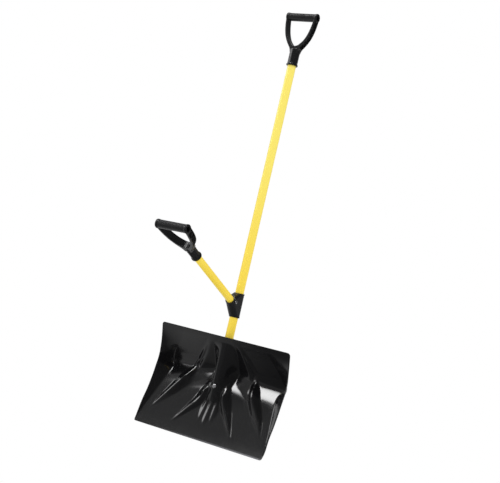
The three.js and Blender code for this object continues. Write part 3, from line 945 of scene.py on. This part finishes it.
def nut_mesh(bolt_radius, corners, height):
    """A hexagon nut standing on z = 0, with its corners chamfered top and bottom."""
    flats = corners * math.cos(math.pi / 6)
    body = rod((0, 0, 0), (0, 0, height), corners, sides=6)
    chamfer = (corners - flats) * 0.6
    dome = hull(
        ring(flats, (0, 0, 0), (1, 0, 0), (0, 1, 0))
        + ring(corners, (0, 0, chamfer), (1, 0, 0), (0, 1, 0))
        + ring(corners, (0, 0, height - chamfer), (1, 0, 0), (0, 1, 0))
        + ring(flats, (0, 0, height), (1, 0, 0), (0, 1, 0))
    )
    body = combined("INTERSECT", body, [dome], "EXACT")
    return cut(body, rod((0, 0, -1), (0, 0, height + 1), bolt_radius + GAP / 2))


def washer_mesh(bore, radius, height):
    """A flat washer standing on z = 0, with its outer edges rounded."""
    edge = height * 0.3
    profile = arc((radius - edge, edge), edge, -90, 0, 3)
    profile += arc((radius - edge, height - edge), edge, 0, 90, 3)
    profile += [(bore, height), (bore, 0)]
    return lathe(profile, 64)


# Turns that take +Z to the direction a fastener's head faces.
TO_FRONT = Matrix.Rotation(math.radians(90), 4, "X")
TO_BACK = Matrix.Rotation(math.radians(-90), 4, "X")
TO_RIGHT = Matrix.Rotation(math.radians(90), 4, "Y")
TO_LEFT = Matrix.Rotation(math.radians(-90), 4, "Y")


def seat(x, y, z):
    """A move to a point about the shaft's axis."""
    return Matrix.Translation((x, y, z))


# ---------------------------------------------------------------- pieces
BLADE_BOLT_Z = 159
BLADE_BOLT_RADIUS = 3
BLADE_HEAD_RADIUS = 6.4
BLADE_HEAD_HEIGHT = 3.2
WASHER_BORE = 3.3
WASHER_RADIUS = 8
WASHER_HEIGHT = 1.4
BLADE_NUT_CORNERS = 5.8
BLADE_NUT_HEIGHT = 5
CROSS_BOLT_UP = 33  # along the second handle's axis
CROSS_BOLT_RADIUS = 2.5
CROSS_HEAD_RADIUS = 5
CROSS_HEAD_HEIGHT = 2.6
CROSS_BOLT_PAST = 7  # how far it reaches past its nut's seat
CROSS_NUT_CORNERS = 4.8
CROSS_NUT_HEIGHT = 4
LOCK_SCREW_RADIUS = 2.2
LOCK_HEAD_RADIUS = 4.4
LOCK_HEAD_HEIGHT = 2.4
GRIP_SCREW_UP = 24
GRIP_SCREW_RADIUS = 2
GRIP_HEAD_RADIUS = 4
GRIP_HEAD_HEIGHT = 2.2
GRIP_SCREW_OUT = 1.6  # from the socket's bore to the screw's seat, without the gap under its head
SCREW_LENGTH = 12
REACH = 60  # longer than any hole
screw_low, screw_high = box_mm("bracket_screw")
LOCK_SCREW_Z = (screw_low.z + screw_high.z) / 2


def hole_through(z, radius):
    """A hole from front to back through the shaft's axis, as drilled takes it."""
    return (0, -REACH, z), (0, REACH, z), radius


def hole_behind(z, radius):
    """A hole from the shaft's axis to the back, as drilled takes it."""
    return (0, 0, z), (0, REACH, z), radius


blade_bolt_hole = hole_through(BLADE_BOLT_Z, BLADE_BOLT_RADIUS)
lock_screw_hole = hole_behind(LOCK_SCREW_Z, LOCK_SCREW_RADIUS)
grip_screw_hole = hole_behind(GRIP_SCREW_UP, GRIP_SCREW_RADIUS)
cross_start = Vector((-REACH, 0, CROSS_BOLT_UP))
cross_end = Vector((REACH, 0, CROSS_BOLT_UP))
top_grip_place = seat(0, 0, TOP_GRIP_FOOT)
second_grip_place = SECOND_TURN @ seat(0, 0, SECOND_GRIP_FOOT)

scoop = merged(scoop_skin(), scoop_socket())
scoop = drilled(scoop, blade_bolt_hole)
finish_piece("scoop_shell", scoop, SCOOP_PLASTIC, "scoop", angle=40)

shaft = drilled(
    tube(SHAFT_RADIUS, shaft_low.z, shaft_high.z),
    blade_bolt_hole,
    lock_screw_hole,
    hole_behind(TOP_GRIP_FOOT + GRIP_SCREW_UP, GRIP_SCREW_RADIUS),
)
finish_piece("main_tube", shaft, PAINT, "main_shaft", angle=40)

second_shaft = drilled(
    tube(SECOND_RADIUS, SECOND_FOOT, SECOND_GRIP_FOOT + GRIP_SOCKET_DEPTH - GAP),
    (cross_start, cross_end, CROSS_BOLT_RADIUS),
    hole_behind(SECOND_GRIP_FOOT + GRIP_SCREW_UP, GRIP_SCREW_RADIUS),
)
finish_piece("second_tube", second_shaft, PAINT, "second_shaft", SECOND_TURN, angle=40)

bracket = drilled(
    bracket_mesh(),
    (SECOND_TURN @ cross_start, SECOND_TURN @ cross_end, CROSS_BOLT_RADIUS),
    lock_screw_hole,
)
finish_piece("bracket_body", bracket, BRACKET_PLASTIC, "bracket", angle=50)

for name, node, place, radius in (
    ("top_handle", "top_grip", top_grip_place, SHAFT_RADIUS),
    ("second_handle", "second_grip", second_grip_place, SECOND_RADIUS),
):
    grip = drilled(grip_mesh(radius + GAP), grip_screw_hole)
    finish_piece(name, grip, GRIP_PLASTIC, node, place, angle=50)

bolt_low, bolt_high = box_mm("scoop_bolt")
bolt_length = bolt_high.y - bolt_low.y - BLADE_HEAD_HEIGHT
bolt = screw_mesh(BLADE_BOLT_RADIUS, BLADE_HEAD_RADIUS, BLADE_HEAD_HEIGHT, bolt_length)
place = seat(0, bolt_low.y - AXIS_Y + BLADE_HEAD_HEIGHT, BLADE_BOLT_Z) @ TO_FRONT
finish_piece("blade_bolt", bolt, ZINC, "scoop_bolt", place)

washer = washer_mesh(WASHER_BORE, WASHER_RADIUS, WASHER_HEIGHT)
place = seat(0, box_mm("scoop_washer")[0].y - AXIS_Y, BLADE_BOLT_Z) @ TO_BACK
finish_piece("blade_washer", washer, ZINC, "scoop_washer", place)

nut = nut_mesh(BLADE_BOLT_RADIUS, BLADE_NUT_CORNERS, BLADE_NUT_HEIGHT)
place = seat(0, box_mm("scoop_nut")[0].y - AXIS_Y, BLADE_BOLT_Z) @ TO_BACK
finish_piece("blade_nut", nut, ZINC, "scoop_nut", place)

cross = SECOND_TURN @ seat(0, 0, CROSS_BOLT_UP)
cross_seat = BRACKET_RADIUS + GAP
bolt_length = 2 * cross_seat + CROSS_BOLT_PAST
bolt = screw_mesh(CROSS_BOLT_RADIUS, CROSS_HEAD_RADIUS, CROSS_HEAD_HEIGHT, bolt_length)
place = cross @ seat(cross_seat, 0, 0) @ TO_RIGHT
finish_piece("cross_bolt", bolt, ZINC, "bracket_bolt", place)

nut = nut_mesh(CROSS_BOLT_RADIUS, CROSS_NUT_CORNERS, CROSS_NUT_HEIGHT)
place = cross @ seat(-cross_seat, 0, 0) @ TO_LEFT
finish_piece("cross_nut", nut, ZINC, "bracket_nut", place)

screw = screw_mesh(LOCK_SCREW_RADIUS, LOCK_HEAD_RADIUS, LOCK_HEAD_HEIGHT, SCREW_LENGTH)
place = seat(0, screw_high.y - LOCK_HEAD_HEIGHT - AXIS_Y, LOCK_SCREW_Z) @ TO_BACK
finish_piece("bracket_lock_screw", screw, ZINC, "bracket_screw", place)

for name, node, grip_place, radius in (
    ("top_handle_screw", "top_grip_screw", top_grip_place, SHAFT_RADIUS),
    ("second_handle_screw", "second_grip_screw", second_grip_place, SECOND_RADIUS),
):
    screw = screw_mesh(GRIP_SCREW_RADIUS, GRIP_HEAD_RADIUS, GRIP_HEAD_HEIGHT, SCREW_LENGTH)
    screw_seat = radius + GAP + GRIP_SCREW_OUT + GAP
    place = grip_place @ seat(0, screw_seat, GRIP_SCREW_UP) @ TO_BACK
    finish_piece(name, screw, ZINC, node, place)


# ---------------------------------------------------------------- floor, light and camera
def make_floor():
    """A plain pale floor, bright enough to run into the pale background. In reflections its colour carries
    a painted shade, darker towards +X and -Y.
    """
    size = 30  # metres each way
    corners = [(-size, -size, 0), (size, -size, 0), (size, size, 0), (-size, size, 0)]
    floor = new_object("studio_floor", mesh_from("studio_floor", corners, [(0, 1, 2, 3)]))
    material = bpy.data.materials.new("studio_floor")
    nodes = Nodes(material)
    nodes.tree.nodes.clear()
    # Painted shade for reflections: the floor's colour falls from 0.5 to 0.1 towards +X and -Y.
    slope = nodes.node("ShaderNodeVectorMath", operation="DOT_PRODUCT")
    nodes.fill(slope, {0: nodes.node("ShaderNodeTexCoord").outputs["Object"], 1: (-0.8, 0.6, 0)})
    across = nodes.ramp(slope.outputs["Value"], -0.05, 0.2)
    painted_floor_shade = nodes.blend(across, (0.1, 0.1, 0.1), (0.5, 0.5, 0.5))
    paper = nodes.fill(nodes.node("ShaderNodeBsdfDiffuse"), {"Color": painted_floor_shade})
    glow = nodes.fill(nodes.node("ShaderNodeEmission"), {"Color": (1, 1, 1, 1), "Strength": 1.0})
    gloss = nodes.node("ShaderNodeLightPath").outputs["Is Glossy Ray"]
    mix = nodes.node("ShaderNodeMixShader")
    nodes.fill(mix, {0: gloss, 1: glow.outputs[0], 2: paper.outputs[0]})
    nodes.link(mix.outputs[0], nodes.node("ShaderNodeOutputMaterial").inputs["Surface"])
    floor.data.materials.append(material)


def make_world():
    """A white room. Gloss sees it dimmer, darker to the right and at the far left, with two lamps in it.

    They are a big soft box that is brighter towards its top, and a low strip further to the left."""
    world = bpy.data.worlds.new("studio")
    bpy.context.scene.world = world
    nodes = Nodes(world)
    background = nodes.tree.nodes["Background"]
    background.inputs["Color"].default_value = (1, 1, 1, 1)
    path = nodes.node("ShaderNodeLightPath")
    x, y, z = nodes.parts(nodes.node("ShaderNodeTexCoord").outputs["Generated"])
    azimuth = nodes.maths("ARCTAN2", x, nodes.maths("MULTIPLY", y, -1.0))
    elevation = nodes.maths("ARCSINE", z, 0.0)

    def lamp(radiance, turn, rise, soft):
        """A patch of light between two azimuths and two elevations, in degrees, with soft edges."""
        shares = [
            nodes.ramp(angle, math.radians(limit - soft), math.radians(limit + soft), *ends)
            for angle, limits in ((azimuth, turn), (elevation, rise))
            for limit, ends in zip(limits, ((0, 1), (1, 0)))
        ]
        product = nodes.maths("MULTIPLY", shares[0], shares[1])
        product = nodes.maths("MULTIPLY", product, nodes.maths("MULTIPLY", shares[2], shares[3]))
        return nodes.maths("MULTIPLY", product, radiance)

    brighter_left = nodes.ramp(x, 0.5, -0.9, 0.08, 0.5)
    dark_far_left = nodes.ramp(x, -0.98, -0.84, 0.3, 1)
    gloss = nodes.maths("MULTIPLY", brighter_left, dark_far_left)
    fading = nodes.ramp(elevation, math.radians(40), math.radians(58), 4, 19)
    gloss = nodes.maths("ADD", gloss, lamp(fading, (-53, -16), (57, 67), 3))
    gloss = nodes.maths("ADD", gloss, lamp(fading, (-43, -16), (43, 57), 3))
    gloss = nodes.maths("ADD", gloss, lamp(4.5, (-98, -57), (14, 25), 3))
    mix = nodes.node("ShaderNodeMix", data_type="FLOAT")
    nodes.link(path.outputs["Is Glossy Ray"], mix.inputs[0])
    nodes.link(nodes.ramp(path.outputs["Is Camera Ray"], 0, 1, 1.15, 1), mix.inputs[2])
    nodes.link(gloss, mix.inputs[3])
    nodes.link(mix.outputs[0], background.inputs["Strength"])


def make_camera():
    """The camera that was solved from the photo."""
    azimuth, elevation, roll = (math.radians(a) for a in (33.31, -3.17, 12.98))
    target = Vector((-0.0047, AXIS_Y * MM, 0.5939))
    distance = 3.2305
    level_part = math.cos(elevation)
    back = Vector((math.sin(azimuth) * level_part, -math.cos(azimuth) * level_part, math.sin(elevation)))
    level = (-back).cross(Vector((0, 0, 1))).normalized()
    upright = level.cross(-back)
    right = math.cos(roll) * level + math.sin(roll) * upright
    up = math.cos(roll) * upright - math.sin(roll) * level
    place = target + back * distance
    camera_data = bpy.data.cameras.new("camera")
    camera_data.sensor_width = 36
    camera_data.sensor_fit = "HORIZONTAL"
    camera_data.lens = 78.88
    camera = bpy.data.objects.new("camera", camera_data)
    bpy.context.scene.collection.objects.link(camera)
    camera.matrix_world = Matrix((right, up, back)).transposed().to_4x4()
    camera.location = place
    bpy.context.scene.camera = camera


make_floor()
make_world()
make_camera()
bpy.context.scene.view_settings.view_transform = "Standard"
